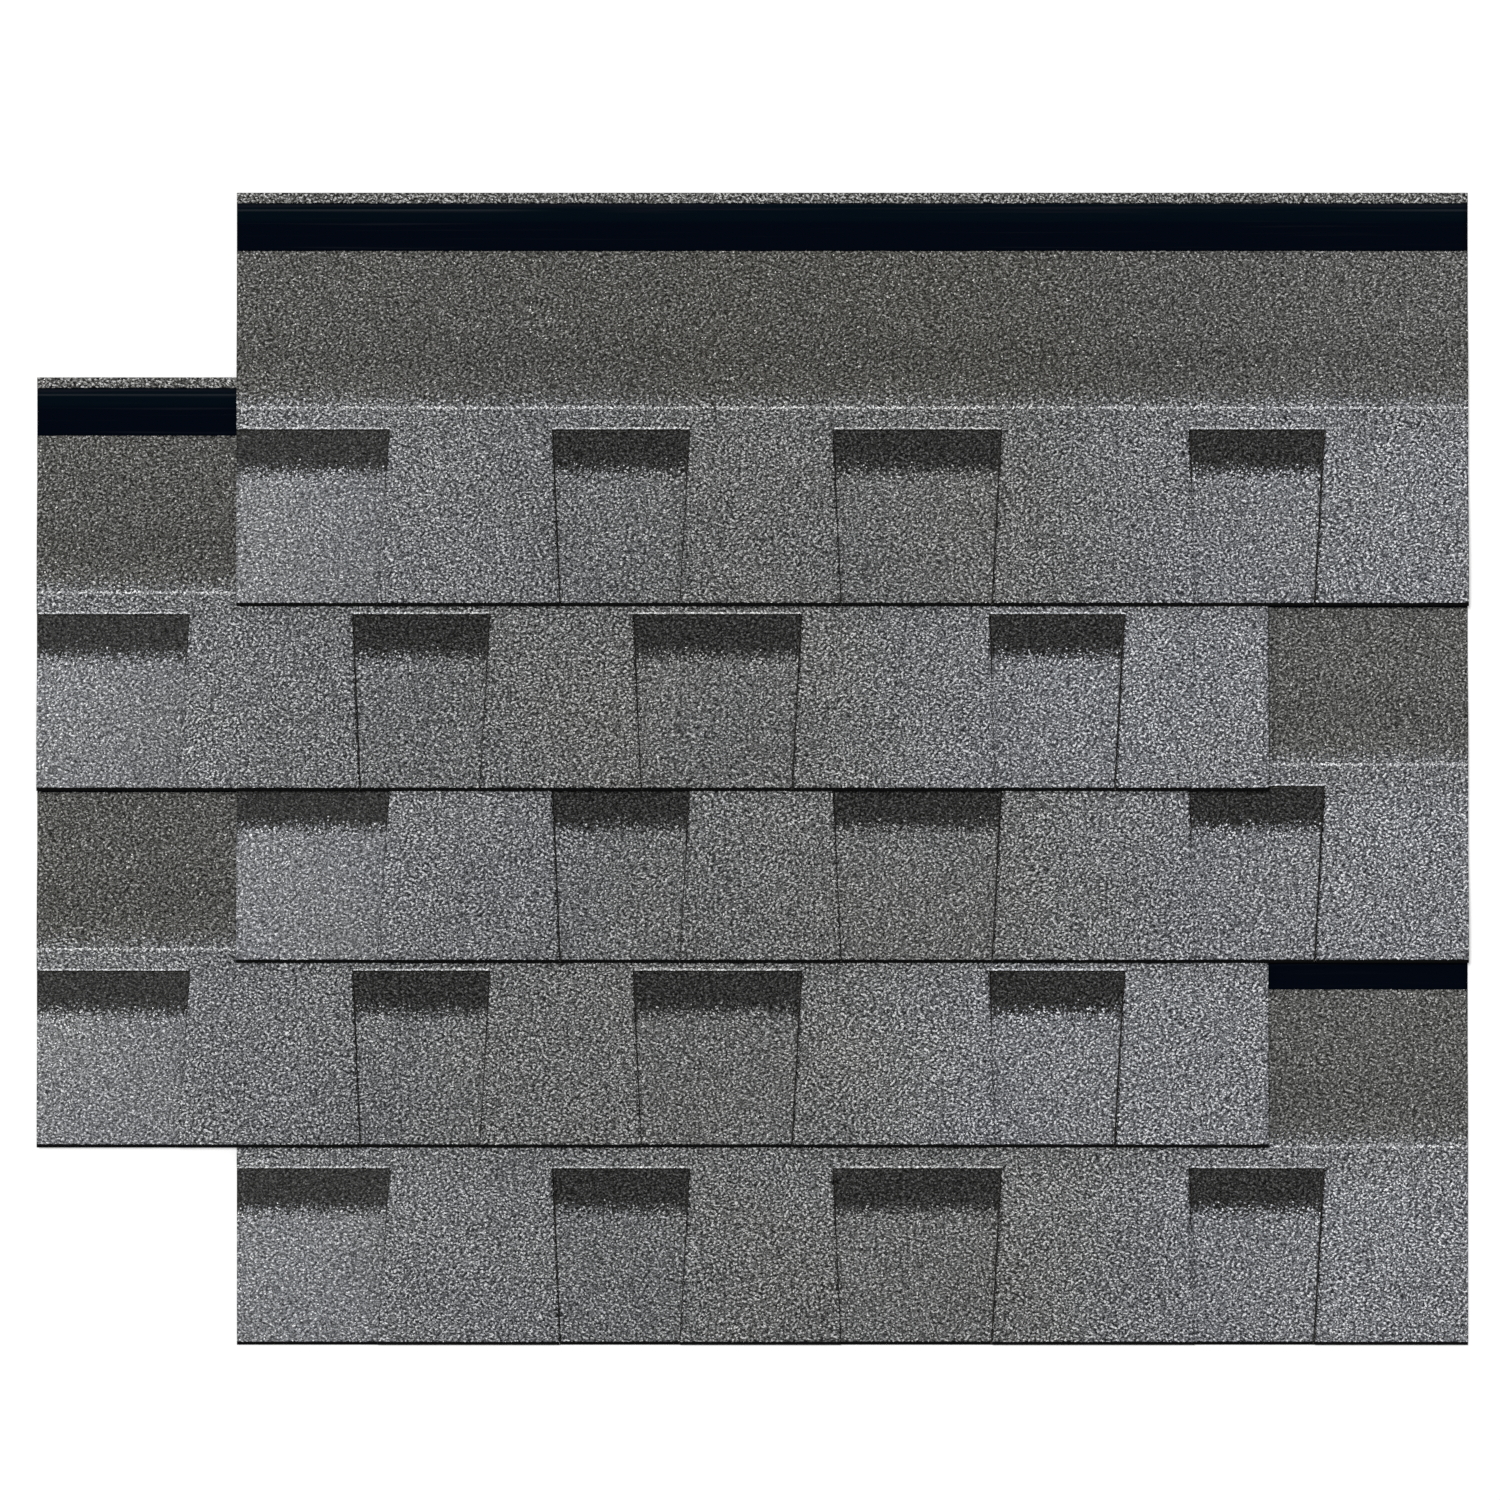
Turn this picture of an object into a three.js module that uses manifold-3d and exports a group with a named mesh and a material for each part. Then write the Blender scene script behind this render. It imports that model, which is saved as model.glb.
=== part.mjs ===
// Five laminated asphalt shingles, laid over one another in staggered courses on a level surface.
// Millimetres, +Z up. X runs along the shingles, Y from their butt edges to their headlaps.
// Each shingle is a notched tab sheet bonded onto a full-length backing strip. A release tape
// lies in a granule-free band of its headlap, and a sealant bead runs under its butt edge.
// The origin is on that surface, under the middle of the five.
import * as THREE from "three";
import { mergeVertices } from "three/addons/utils/BufferGeometryUtils.js";
import Module from "manifold-3d";

const wasm = await Module();
wasm.setup();

// How the courses lie, from the first one laid, which is at the bottom
const exposures = [160.5, 150, 139.5, 150]; // height that each course leaves of the one before it
const stagger = 162.2; // every second course is shifted to the left by this

// Tab sheet
const sheetLength = 1000;
const sheetHeight = 336; // butt edge to headlap edge
const sheetThickness = 2.7;
const cutOutHeight = 143.7;
// Each cut-out at its head, how far its two sides lean in down to the butt edge, and the width
// of the tab that follows it. The first cut-out is open at the sheet's end.
const cutOuts = [
  { width: 124.6, leftLean: 0, rightLean: 10.3, nextTab: 131.3 },
  { width: 112.5, leftLean: 6.3, rightLean: 8.3, nextTab: 115.4 },
  { width: 138, leftLean: 6.7, rightLean: 7.9, nextTab: 151.2 },
  { width: 111, leftLean: 5.1, rightLean: 8.3 }, // the last tab runs to the other end
];

// Backing strip, which shows through the cut-outs
const bondWidth = 28.3; // how far it reaches above them
const backingHeight = cutOutHeight + bondWidth;
const backingThickness = 2.7;

// Bare, crushed asphalt along the butt edges of both
const edgeBevelRun = 2.4;
const edgeBevelDrop = 1;

// Release tape and the band that it lies in
const tapeWidth = 39.2;
const tapeToHeadlapEdge = 8.5;
const tapeThickness = 0.4;
const bandDepth = 0.9; // the height of the granules round it

// Sealant bead
const beadInset = 12; // from the butt edge
const beadWidth = 12;
const beadThickness = 0.6;

// How the layers meet
const bondGap = 0.2; // inside one shingle
const lapGap = 0.3; // from one shingle to the next
const drapeRun = 80; // a layer comes down over this length past an edge beneath it
const stationStep = 10; // length of the flat facets that make up a drape
const cutClear = 5; // how far a cutter runs past what it cuts

// Surface colours
const finishes = {
  tabGranules: new THREE.MeshStandardMaterial({ color: 0x6f7173, roughness: 0.95, metalness: 0 }),
  backingGranules: new THREE.MeshStandardMaterial({ color: 0x686a6d, roughness: 0.95, metalness: 0 }),
  tapeFilm: new THREE.MeshStandardMaterial({ color: 0x02040c, roughness: 0.35, metalness: 0 }),
  sealant: new THREE.MeshStandardMaterial({ color: 0x0b0b0c, roughness: 0.5, metalness: 0 }),
};

// The layers in the order in which they are laid. Distances up the slope, such as start, end and
// butt, are from the butt edge of the first course.
const layers = [];

function layLayer(start, end, thickness, gapAbove) {
  const layer = { start, end, thickness, gapAbove, below: [...layers] };
  layers.push(layer);
  return layer;
}

function layCourse(butt) {
  const beadStart = butt + beadInset;
  return {
    butt,
    bead: layLayer(beadStart, beadStart + beadWidth, beadThickness, bondGap),
    backing: layLayer(butt, butt + backingHeight, backingThickness, bondGap),
    sheet: layLayer(butt, butt + sheetHeight, sheetThickness, lapGap),
  };
}

// Height of a layer's underside. Each layer beneath it holds it up as far as its own upper
// edge, and from there it comes down smoothly by that layer's thickness.
function undersideAt(layer, slopeY) {
  let height = 0;
  for (const { end, thickness, gapAbove } of layer.below) {
    const fallen = THREE.MathUtils.smoothstep(slopeY, end, end + drapeRun);
    height += (thickness + gapAbove) * (1 - fallen);
  }
  return height;
}

// Distances from one to another, in either direction, by way of the stations that all layers share.
function stations(from, to) {
  const low = Math.min(from, to);
  const high = Math.max(from, to);
  const closest = stationStep / 4; // no sliver next to either end
  const between = [];
  for (let station = Math.ceil(low / stationStep) * stationStep; station < high; station += stationStep) {
    if (station - low > closest && high - station > closest) between.push(station);
  }
  if (from > to) between.reverse();
  return [from, ...between, to];
}

// A line of profile points that follows a layer at a height above its underside.
function profileLine(layer, from, to, height) {
  return stations(from, to).map((slopeY) => new THREE.Vector2(slopeY, undersideAt(layer, slopeY) + height));
}

// A profile across the slope, extruded over the whole length of the shingle. The shape's own
// x and y become Y and Z, and its depth becomes X.
function extrudeAlongShingle(points, butt) {
  const geometry = new THREE.ExtrudeGeometry(new THREE.Shape(points), {
    depth: sheetLength,
    bevelEnabled: false,
  });
  const alongY = new THREE.Vector3(0, 1, 0);
  const alongZ = new THREE.Vector3(0, 0, 1);
  const alongX = new THREE.Vector3(1, 0, 0);
  geometry.applyMatrix4(new THREE.Matrix4().makeBasis(alongY, alongZ, alongX));
  return geometry.translate(-sheetLength / 2, -butt, 0);
}

function toSolid(geometry) {
  const bare = geometry.clone();
  bare.deleteAttribute("normal");
  bare.deleteAttribute("uv");
  const merged = mergeVertices(bare);
  return new wasm.Manifold(
    new wasm.Mesh({
      numProp: 3,
      vertProperties: merged.attributes.position.array,
      triVerts: new Uint32Array(merged.index.array),
    }),
  );
}

function toGeometry(solid) {
  const { vertProperties, triVerts } = solid.getMesh();
  const geometry = new THREE.BufferGeometry();
  geometry.setAttribute("position", new THREE.BufferAttribute(vertProperties, 3));
  geometry.setIndex(new THREE.BufferAttribute(triVerts, 1));
  geometry.computeVertexNormals();
  return geometry;
}

// Each piece of a shingle is made with the shingle's butt edge on Y = 0 and its middle on X = 0.

// The sheet's butt edge is bevelled, and its upper face steps down into the band of the tape.
function makeTabSheet({ butt, sheet }) {
  const bandTop = sheet.end - tapeToHeadlapEdge;
  const bandFoot = bandTop - tapeWidth;
  const slab = extrudeAlongShingle(
    [
      ...profileLine(sheet, sheet.start, sheet.end, 0),
      ...profileLine(sheet, sheet.end, bandTop, sheetThickness),
      ...profileLine(sheet, bandTop, bandFoot, sheetThickness - bandDepth),
      ...profileLine(sheet, bandFoot, sheet.start + edgeBevelRun, sheetThickness),
      new THREE.Vector2(sheet.start, undersideAt(sheet, sheet.start) + sheetThickness - edgeBevelDrop),
    ],
    butt,
  );
  let notched = toSolid(slab);
  for (const cutter of makeCutOutCutters(undersideAt(sheet, sheet.start) + sheetThickness)) {
    notched = notched.subtract(toSolid(cutter));
  }
  return toGeometry(notched);
}

// Tapered prisms through the full height of the pile, which leave the tabs standing between them.
function makeCutOutCutters(topOfSheet) {
  const cutters = [];
  let left = -sheetLength / 2;
  cutOuts.forEach(({ width, leftLean, rightLean, nextTab }, place) => {
    const right = left + width;
    const openEnd = place === 0 ? cutClear : 0;
    const outline = new THREE.Shape([
      new THREE.Vector2(left - openEnd, cutOutHeight),
      new THREE.Vector2(left + leftLean - openEnd, 0),
      new THREE.Vector2(left + leftLean - openEnd, -cutClear),
      new THREE.Vector2(right - rightLean, -cutClear),
      new THREE.Vector2(right - rightLean, 0),
      new THREE.Vector2(right, cutOutHeight),
    ]);
    const depth = topOfSheet + 2 * cutClear;
    cutters.push(new THREE.ExtrudeGeometry(outline, { depth, bevelEnabled: false }).translate(0, 0, -cutClear));
    left = right + nextTab;
  });
  return cutters;
}

function makeBackingStrip({ butt, backing }) {
  return extrudeAlongShingle(
    [
      ...profileLine(backing, backing.start, backing.end, 0),
      ...profileLine(backing, backing.end, backing.start + edgeBevelRun, backingThickness),
      new THREE.Vector2(
        backing.start,
        undersideAt(backing, backing.start) + backingThickness - edgeBevelDrop,
      ),
    ],
    butt,
  );
}

// The tape lies on the floor of its band and stays below the granules on both sides.
function makeReleaseTape({ butt, sheet }) {
  const top = sheet.end - tapeToHeadlapEdge - bondGap;
  const foot = sheet.end - tapeToHeadlapEdge - tapeWidth + bondGap;
  const floor = sheetThickness - bandDepth + bondGap;
  return extrudeAlongShingle(
    [...profileLine(sheet, foot, top, floor), ...profileLine(sheet, top, foot, floor + tapeThickness)],
    butt,
  );
}

// The bead is flat where it sticks to the backing strip, and its sides slope in to its underside.
function makeSealantBead({ butt, bead }) {
  const underside = profileLine(bead, bead.start + beadThickness, bead.end - beadThickness, 0);
  const upperFace = profileLine(bead, bead.end, bead.start, beadThickness);
  return extrudeAlongShingle([...underside, ...upperFace], butt);
}

function addPiece(group, name, geometry, finish) {
  const mesh = new THREE.Mesh(geometry, finish);
  mesh.name = name;
  group.add(mesh);
}

const buttEdges = [0];
for (const exposure of exposures) buttEdges.push(buttEdges.at(-1) + exposure);
const middleOfSlope = (buttEdges.at(-1) + sheetHeight) / 2;

const lappedShingles = new THREE.Group();
lappedShingles.name = "lapped_shingles";

buttEdges.forEach((butt, place) => {
  const course = layCourse(butt);
  const name = `course_${place + 1}`;
  const shingle = new THREE.Group();
  shingle.name = name;
  shingle.position.set(place % 2 === 0 ? stagger / 2 : -stagger / 2, butt - middleOfSlope, 0);
  addPiece(shingle, `${name}_sealant_bead`, makeSealantBead(course), finishes.sealant);
  addPiece(shingle, `${name}_backing_strip`, makeBackingStrip(course), finishes.backingGranules);
  addPiece(shingle, `${name}_tab_sheet`, makeTabSheet(course), finishes.tabGranules);
  addPiece(shingle, `${name}_release_tape`, makeReleaseTape(course), finishes.tapeFilm);
  lappedShingles.add(shingle);
});

export default lappedShingles;
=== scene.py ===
import math

import bpy
import numpy as np
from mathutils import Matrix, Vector
from mathutils.bvhtree import BVHTree


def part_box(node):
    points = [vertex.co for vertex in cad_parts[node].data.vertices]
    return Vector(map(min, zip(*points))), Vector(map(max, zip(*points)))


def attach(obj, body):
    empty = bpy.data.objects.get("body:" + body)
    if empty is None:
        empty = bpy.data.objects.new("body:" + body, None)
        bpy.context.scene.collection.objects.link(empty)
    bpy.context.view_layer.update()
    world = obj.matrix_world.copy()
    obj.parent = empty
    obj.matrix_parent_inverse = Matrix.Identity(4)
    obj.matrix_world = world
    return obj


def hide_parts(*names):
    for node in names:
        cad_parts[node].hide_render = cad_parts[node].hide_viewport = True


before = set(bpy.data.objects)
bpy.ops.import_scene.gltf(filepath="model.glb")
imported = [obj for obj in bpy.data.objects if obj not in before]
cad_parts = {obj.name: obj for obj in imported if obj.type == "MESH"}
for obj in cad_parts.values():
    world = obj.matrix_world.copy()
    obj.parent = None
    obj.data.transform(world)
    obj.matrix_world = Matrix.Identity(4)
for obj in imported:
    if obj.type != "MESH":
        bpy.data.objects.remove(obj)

# Five laminated shingles lapped in courses. Each piece has the underside of its own node, and a
# finer upper face with granules, bare edges or film. A sheet, strip or film stands at its shingle's
# lower left corner, with x along the shingle and y up the slope. Lengths are in metres.

mm = 0.001
chance = np.random.default_rng(1807).uniform
join = np.concatenate
scene = bpy.context.scene
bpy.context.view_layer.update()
print("frame loaded:", len(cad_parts), "nodes")


# Studio

studio = {
    "lookAt": (-0.002, 0.01525),  # the lens is straight above this place
    "frameWidth": 1.2192,  # width of the floor in view
    "lens": 200,
    "sensor": 36,
    "clipEnd": 100,
    "skyLight": 0.36,
    "keyLight": 2.04,
    "keyTilt": 8,  # degrees from straight above, towards the headlaps
    "keyLean": 9,  # and towards the left
    "keySoftness": 12,
    "floorWidth": 80,
    "floorDrop": 0.05 * mm,  # keeps it clear of the undersides
    "floorColour": 0.8,
    "floorGlow": 0.3,  # only for what the lens and reflections see
}


def feed(sockets, values):
    # Links or sets each socket that is named
    for name, value in values.items():
        if isinstance(value, bpy.types.NodeSocket):
            value.id_data.links.new(value, sockets[name])
        else:
            sockets[name].default_value = value


def addNode(tree, kind, inputs=None, **settings):
    node = tree.nodes.new("ShaderNode" + kind)
    for name, value in settings.items():
        setattr(node, name, value)
    feed(node.inputs, inputs or {})
    return node


def nextNode(kind, inputs, **settings):
    # A node in the same tree as the sockets that feed it
    trees = [value.id_data for value in inputs.values() if isinstance(value, bpy.types.NodeSocket)]
    return addNode(trees[0], kind, inputs, **settings)


def calc(operation, *values, clamp=False):
    inputs = dict(enumerate(values))
    return nextNode("Math", inputs, operation=operation, use_clamp=clamp).outputs[0]


def minus(first, second):
    return calc("SUBTRACT", first, second)


def isAbove(value, level):
    return calc("GREATER_THAN", value, level)


def scaled(value, factor, offset, clamp=False):
    return calc("MULTIPLY_ADD", value, factor, offset, clamp=clamp)


def product(value, *factors):
    for factor in factors:
        value = calc("MULTIPLY", value, factor)
    return value


def distance(value, middle):
    return calc("ABSOLUTE", minus(value, middle))


def vectorCalc(operation, *values):
    return nextNode("VectorMath", dict(enumerate(values)), operation=operation).outputs[0]


def dotProduct(first, second):
    return nextNode("VectorMath", {0: first, 1: second}, operation="DOT_PRODUCT").outputs["Value"]


def ramp(value, low, high, toLow=0, toHigh=1):
    # A smooth change between two places, and the values that it has there
    node = nextNode("MapRange", {
        "Value": value, "From Min": low, "From Max": high, "To Min": toLow, "To Max": toHigh,
    }, interpolation_type="SMOOTHSTEP")
    return node.outputs["Result"]


def mixValue(share, first, second):
    return nextNode("Mix", {0: share, 2: first, 3: second}, data_type="FLOAT").outputs[0]


def mixColour(share, first, second, blend="MIX"):
    inputs = {0: share, 6: first, 7: second}
    return nextNode("Mix", inputs, data_type="RGBA", blend_type=blend).outputs[2]


def overlay(value, *layers):
    # Each layer is a mask and the value that it lays over those before it
    for mask, over in layers:
        value = mixValue(mask, value, over)
    return value


def seenRays(tree):
    # 1 for what the lens, a reflection or a clear surface shows, and 0 for light
    path = addNode(tree, "LightPath").outputs
    seen = calc("MAXIMUM", path["Is Camera Ray"], path["Is Glossy Ray"])
    return calc("MAXIMUM", seen, path["Is Transmission Ray"])


def emptyTree(owner):
    owner.use_nodes = True
    owner.node_tree.nodes.clear()
    return owner.node_tree


def addObject(name, data, place):
    added = bpy.data.objects.new(name, data)
    added.location = place
    scene.collection.objects.link(added)
    return added


def makeSky():
    world = bpy.data.worlds.new("studioSky")
    tree = emptyTree(world)
    strength = mixValue(seenRays(tree), studio["skyLight"], 1)
    sky = addNode(tree, "Background", {"Color": (1, 1, 1, 1), "Strength": strength})
    addNode(tree, "OutputWorld", {"Surface": sky.outputs[0]})
    scene.world = world


def makeFloor():
    half = studio["floorWidth"] / 2
    corners = [(-half, -half, 0), (half, -half, 0), (half, half, 0), (-half, half, 0)]
    data = bpy.data.meshes.new("studioFloor")
    data.from_pydata(corners, [], [(0, 1, 2, 3)])
    floor = addObject("studioFloor", data, (0, 0, -studio["floorDrop"]))
    material = bpy.data.materials.new("paleFloor")
    tree = emptyTree(material)
    tone = studio["floorColour"]
    matt = addNode(tree, "BsdfDiffuse", {"Color": (tone, tone, tone, 1)})
    strength = product(seenRays(tree), studio["floorGlow"])
    glow = addNode(tree, "Emission", {"Color": (1, 1, 1, 1), "Strength": strength})
    both = addNode(tree, "AddShader", {0: matt.outputs[0], 1: glow.outputs[0]})
    addNode(tree, "OutputMaterial", {"Surface": both.outputs[0]})
    data.materials.append(material)


def makeKeyLight():
    light = bpy.data.lights.new("keyLight", "SUN")
    light.energy = studio["keyLight"]
    light.angle = math.radians(studio["keySoftness"])
    lean, tilt = math.radians(studio["keyLean"]), math.radians(studio["keyTilt"])
    towards = Vector((-math.tan(lean), math.tan(tilt), 1))
    lamp = addObject("keyLight", light, (0, 0, 0))
    lamp.rotation_euler = towards.to_track_quat("Z", "Y").to_euler()


def makeCamera():
    data = bpy.data.cameras.new("straightDown")
    data.lens, data.sensor_width, data.clip_end = [studio[name] for name in ("lens", "sensor", "clipEnd")]
    height = studio["lens"] / studio["sensor"] * studio["frameWidth"]
    scene.camera = addObject("straightDown", data, (*studio["lookAt"], height))


scene.view_settings.view_transform = "Standard"
makeSky()
makeFloor()
makeKeyLight()
makeCamera()
print("studio ready")


# Effects that the materials share. A setting of four numbers that isn't a colour is a smooth
# change: the two places between which it runs, and its values there.

def newGroup(name, inputs, outputs):
    # All its sockets are numbers, but for an output named Colour
    tree = bpy.data.node_groups.new(name, "ShaderNodeTree")
    for title, value in inputs.items():
        socket = tree.interface.new_socket(title, in_out="INPUT", socket_type="NodeSocketFloat")
        socket.default_value = value
    for title in outputs:
        kind = "NodeSocketColor" if title == "Colour" else "NodeSocketFloat"
        tree.interface.new_socket(title, in_out="OUTPUT", socket_type=kind)
    given, taken = [tree.nodes.new(kind) for kind in ("NodeGroupInput", "NodeGroupOutput")]
    return tree, given.outputs, taken.inputs


def useGroup(tree, name, inputs=None):
    return addNode(tree, "Group", inputs, node_tree=bpy.data.node_groups[name]).outputs


def readAttribute(tree, name):
    return addNode(tree, "Attribute", attribute_name=name).outputs["Fac"]


def surfacePlace(tree):
    return addNode(tree, "NewGeometry").outputs["Position"]


def noise(place, scale, detail, dimensions="3D"):
    inputs = {"Vector": place, "Scale": scale, "Detail": detail}
    return nextNode("TexNoise", inputs, noise_dimensions=dimensions).outputs


def splitColour(colour):
    return nextNode("SeparateColor", {"Color": colour}).outputs


chipPattern = {
    "length": 0.8,  # how much x counts: less makes the chips longer along the shingle
    "aslant": math.radians(29),  # of their rows
    "height": (0.8, 0.6),  # how much z counts, so that upright walls get chips too
    "wander": 7 * mm,
    "wanderScale": 26,
    "clumpScale": 0.515,
    "shade": (1.5, 0.4, -0.45),  # share of the clump, share of the chip, and offset
    "scatter": (1.4, 0.6, -0.5),
    "lightest": (0.99, 0.8),  # chips above this level are lighter by that much
    "tilt": 0.9,
    "rise": 0.35,  # how unevenly the chips stand
    "gap": (0.42, 0.8),  # darkened gap, partly painted shade: where it starts and ends, from the middle of a chip
    "standingTint": 0.11,
}


def stir(clump, chip, shares):
    fromClump, fromChip, offset = shares
    return scaled(clump, fromClump, scaled(chip, fromChip, offset))


def buildGranules():
    # Crushed stone chips, each with its own random shade, tint and tilted face. Light and dark ones
    # lie in small clumps, with a few very light ones anywhere. A chip that stands up in the mesh has
    # one shade all over, its chipShade.
    outputs = ["Shade", "Tint", "Scatter", "Slip", "Gap", "Relief"]
    tree, given, taken = newGroup("granules", {"Size": 0.85 * mm}, outputs)
    look = chipPattern
    length, sine, cosine = look["length"], math.sin(look["aslant"]), math.cos(look["aslant"])
    rows = (length * cosine, -sine, look["height"][0]), (length * sine, cosine, look["height"][1])
    place = surfacePlace(tree)
    across, upward = [dotProduct(place, row) for row in rows]
    place = nextNode("CombineXYZ", {"X": across, "Y": upward}).outputs[0]
    wander = noise(place, look["wanderScale"], 1, "2D")["Color"]
    place = vectorCalc("MULTIPLY_ADD", wander, (look["wander"], look["wander"], 0), place)
    perMetre = calc("DIVIDE", 1, given["Size"])
    chips = nextNode("TexVoronoi", {"Vector": place, "Scale": perMetre}, voronoi_dimensions="2D").outputs
    random = splitColour(chips["Color"])
    clumps = noise(chips["Position"], product(perMetre, look["clumpScale"]), 0, "2D")["Color"]
    clumps = splitColour(clumps)
    shade = stir(clumps[0], random[0], look["shade"])
    level, lighter = look["lightest"]
    shade = scaled(isAbove(random[0], level), lighter, shade)
    offset = vectorCalc("SUBTRACT", place, chips["Position"])
    slip = dotProduct(offset, (-sine, cosine, 0))
    face = vectorCalc("SUBTRACT", chips["Color"], (0.5, 0.5, 0.5))
    tilt = product(dotProduct(offset, face), perMetre, look["tilt"])
    relief = minus(tilt, calc("POWER", chips["Distance"], 2))
    own = readAttribute(tree, "chipShade")
    standing = isAbove(own, 0.001)
    ownTint = calc("PINGPONG", own, look["standingTint"])
    feed(taken, {
        "Shade": mixValue(standing, shade, own),
        "Tint": mixValue(standing, random[1], ownTint),
        "Scatter": stir(clumps[1], random[2], look["scatter"]),
        "Slip": product(slip, -1),
        "Gap": mixValue(standing, ramp(chips["Distance"], *look["gap"]), 0),
        "Relief": scaled(random[1], look["rise"], relief),
    })


stoneColour = {
    "greys": [(0, 0.012), (0.25, 0.052), (0.5, 0.15), (0.75, 0.36), (1, 0.8)],  # by shade
    "middle": 0.55,  # the shade that a change of contrast leaves
    "tints": ((0.904, 0.972, 1.112, 1), (1.088, 1.046, 0.88, 1)),  # cool and warm
    "chipWarmth": 0.3,  # spread from chip to chip
    "stain": (-0.8, 1.05),  # dark chips take it most
    # darkening of the gaps between chips: partly the asphalt there, partly painted shade
    "gap": -0.7,
    "paintedGlint": 0.996,  # painted highlight: one chip in 250 is painted near white, as if it caught the light,
    "glintTone": 0.35,  # but not in the printed shadow, whose tone is below this
    "glintBright": (0.4, 0.85),
}


def buildGranuleColour():
    # Mostly mid-grey stone with dark and near-white chips, over dark asphalt
    _, given, taken = newGroup("granuleColour", {
        "Shade": 0.5, "Tint": 0.5, "Gap": 0, "Tone": 1, "Warmth": 0.5, "Contrast": 1,
    }, ["Colour"])
    look = stoneColour
    shade = scaled(minus(given["Shade"], look["middle"]), given["Contrast"], look["middle"])
    # Painted highlight: a few chips get the lightest shade and a brighter tone, outside the printed shadow
    outsidePrintedShadow = isAbove(given["Tone"], look["glintTone"])
    paintedGlint = product(isAbove(given["Tint"], look["paintedGlint"]), outsidePrintedShadow)
    shade = mixValue(paintedGlint, shade, 1)
    stones = nextNode("ValToRGB", {"Fac": shade})
    elements = stones.color_ramp.elements
    while len(elements) < len(look["greys"]):
        elements.new(0.5)
    for element, (place, grey) in zip(elements, look["greys"]):
        element.position, element.color = place, (grey, grey, grey, 1)
    spread = look["chipWarmth"]
    chipWarmth = scaled(given["Tint"], spread, -spread / 2)
    warmth = calc("ADD", given["Warmth"], chipWarmth, clamp=True)
    stain = mixColour(warmth, *look["tints"])
    share = scaled(shade, *look["stain"], clamp=True)
    stained = mixColour(share, stones.outputs["Color"], stain, "MULTIPLY")
    # Darker in the gaps between chips: partly asphalt, partly painted shade
    bright = product(given["Tone"], scaled(given["Gap"], look["gap"], 1))
    bright = mixValue(paintedGlint, bright, scaled(bright, *look["glintBright"]))
    lit = nextNode("VectorMath", {0: stained, "Scale": bright}, operation="SCALE")
    feed(taken, {"Colour": lit.outputs[0]})


def buildGranuleBand():
    # A band across the slope whose edges are frayed by whole chips
    inputs = {"Height": 0, "Scatter": 0.5, "Low": 0, "High": 1, "Fray": 1 * mm}
    _, given, taken = newGroup("granuleBand", inputs, ["Mask"])
    shifted = scaled(minus(given["Scatter"], 0.5), given["Fray"], given["Height"])
    above = isAbove(shifted, given["Low"])
    below = calc("LESS_THAN", shifted, given["High"])
    feed(taken, {"Mask": product(above, below)})


slowChange = {
    "tone": 0.862,  # in the middle of a shingle
    "leftStart": 0.45,  # where the tone starts to rise towards the left end
    "leftRise": 2.65,
    "rightTone": (0.56, 0.9, 0, 0.405),
    "leftWarmth": (0.2, 0.45, 0.24, 0.5),
    "rightWarmth": (0.62, 0.8, 0, -0.43),
    "cloudScale": 11,
    "cloudTone": 0.35,
    "cloudWarmth": 0.5,
}


def buildSlowChange():
    # Lighter and cooler towards both ends of a shingle, with faint cloudy patches
    look = slowChange
    tree, given, taken = newGroup("slowChange", {"Along": 0}, ["Tone", "Warmth"])
    along = given["Along"]
    clouds = noise(surfacePlace(tree), look["cloudScale"], 2)
    patches = minus(clouds["Fac"], 0.5)
    stains = minus(splitColour(clouds["Color"])[2], 0.5)
    left = calc("MAXIMUM", minus(look["leftStart"], along), 0)
    tone = scaled(product(left, left), look["leftRise"], look["tone"])
    tone = calc("ADD", tone, ramp(along, *look["rightTone"]))
    warmth = calc("ADD", ramp(along, *look["leftWarmth"]), ramp(along, *look["rightWarmth"]))
    feed(taken, {
        "Tone": scaled(patches, look["cloudTone"], tone),
        "Warmth": calc("ADD", warmth, product(stains, look["cloudWarmth"])),
    })


bareAsphalt = {
    "colours": ((0.0012, 0.0012, 0.0014, 1), (0.006, 0.006, 0.006, 1)),  # clean and dusty
    "dust": (0.52, 0.78),
    "roughness": (0.3, 0.7, 0.5, 0.95),
}


def buildAsphalt():
    # Fine lumps, dull where they are dusty
    look = bareAsphalt
    tree, given, taken = newGroup("asphalt", {"Size": 0.6 * mm}, ["Colour", "Roughness", "Relief"])
    perMetre = calc("DIVIDE", 1, given["Size"])
    lumps = noise(surfacePlace(tree), perMetre, 3)["Fac"]
    feed(taken, {
        "Colour": mixColour(ramp(lumps, *look["dust"]), *look["colours"]),
        "Roughness": ramp(lumps, *look["roughness"]),
        "Relief": lumps,
    })


buildGranules()
buildGranuleColour()
buildGranuleBand()
buildSlowChange()
buildAsphalt()
print("shared effects ready")


# Materials

finishes = {}


def newMaterial(name, specular):
    finishes[name] = bpy.data.materials.new(name)
    tree = emptyTree(finishes[name])
    shader = addNode(tree, "BsdfPrincipled", {"Specular IOR Level": specular})
    addNode(tree, "OutputMaterial", {"Surface": shader.outputs[0]})
    return tree, shader.inputs


def finishSurface(shader, colour, roughness, relief, bumpHeight):
    bump = nextNode("Bump", {"Height": relief, "Distance": bumpHeight})
    feed(shader, {"Base Color": colour, "Roughness": roughness, "Normal": bump.outputs[0]})


def placeOnShingle(tree):
    # Along the shingle and up the slope, from its lower left corner
    place = addNode(tree, "TexCoord").outputs["Object"]
    parts = nextNode("SeparateXYZ", {"Vector": place}).outputs
    return parts["X"], parts["Y"]


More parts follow.
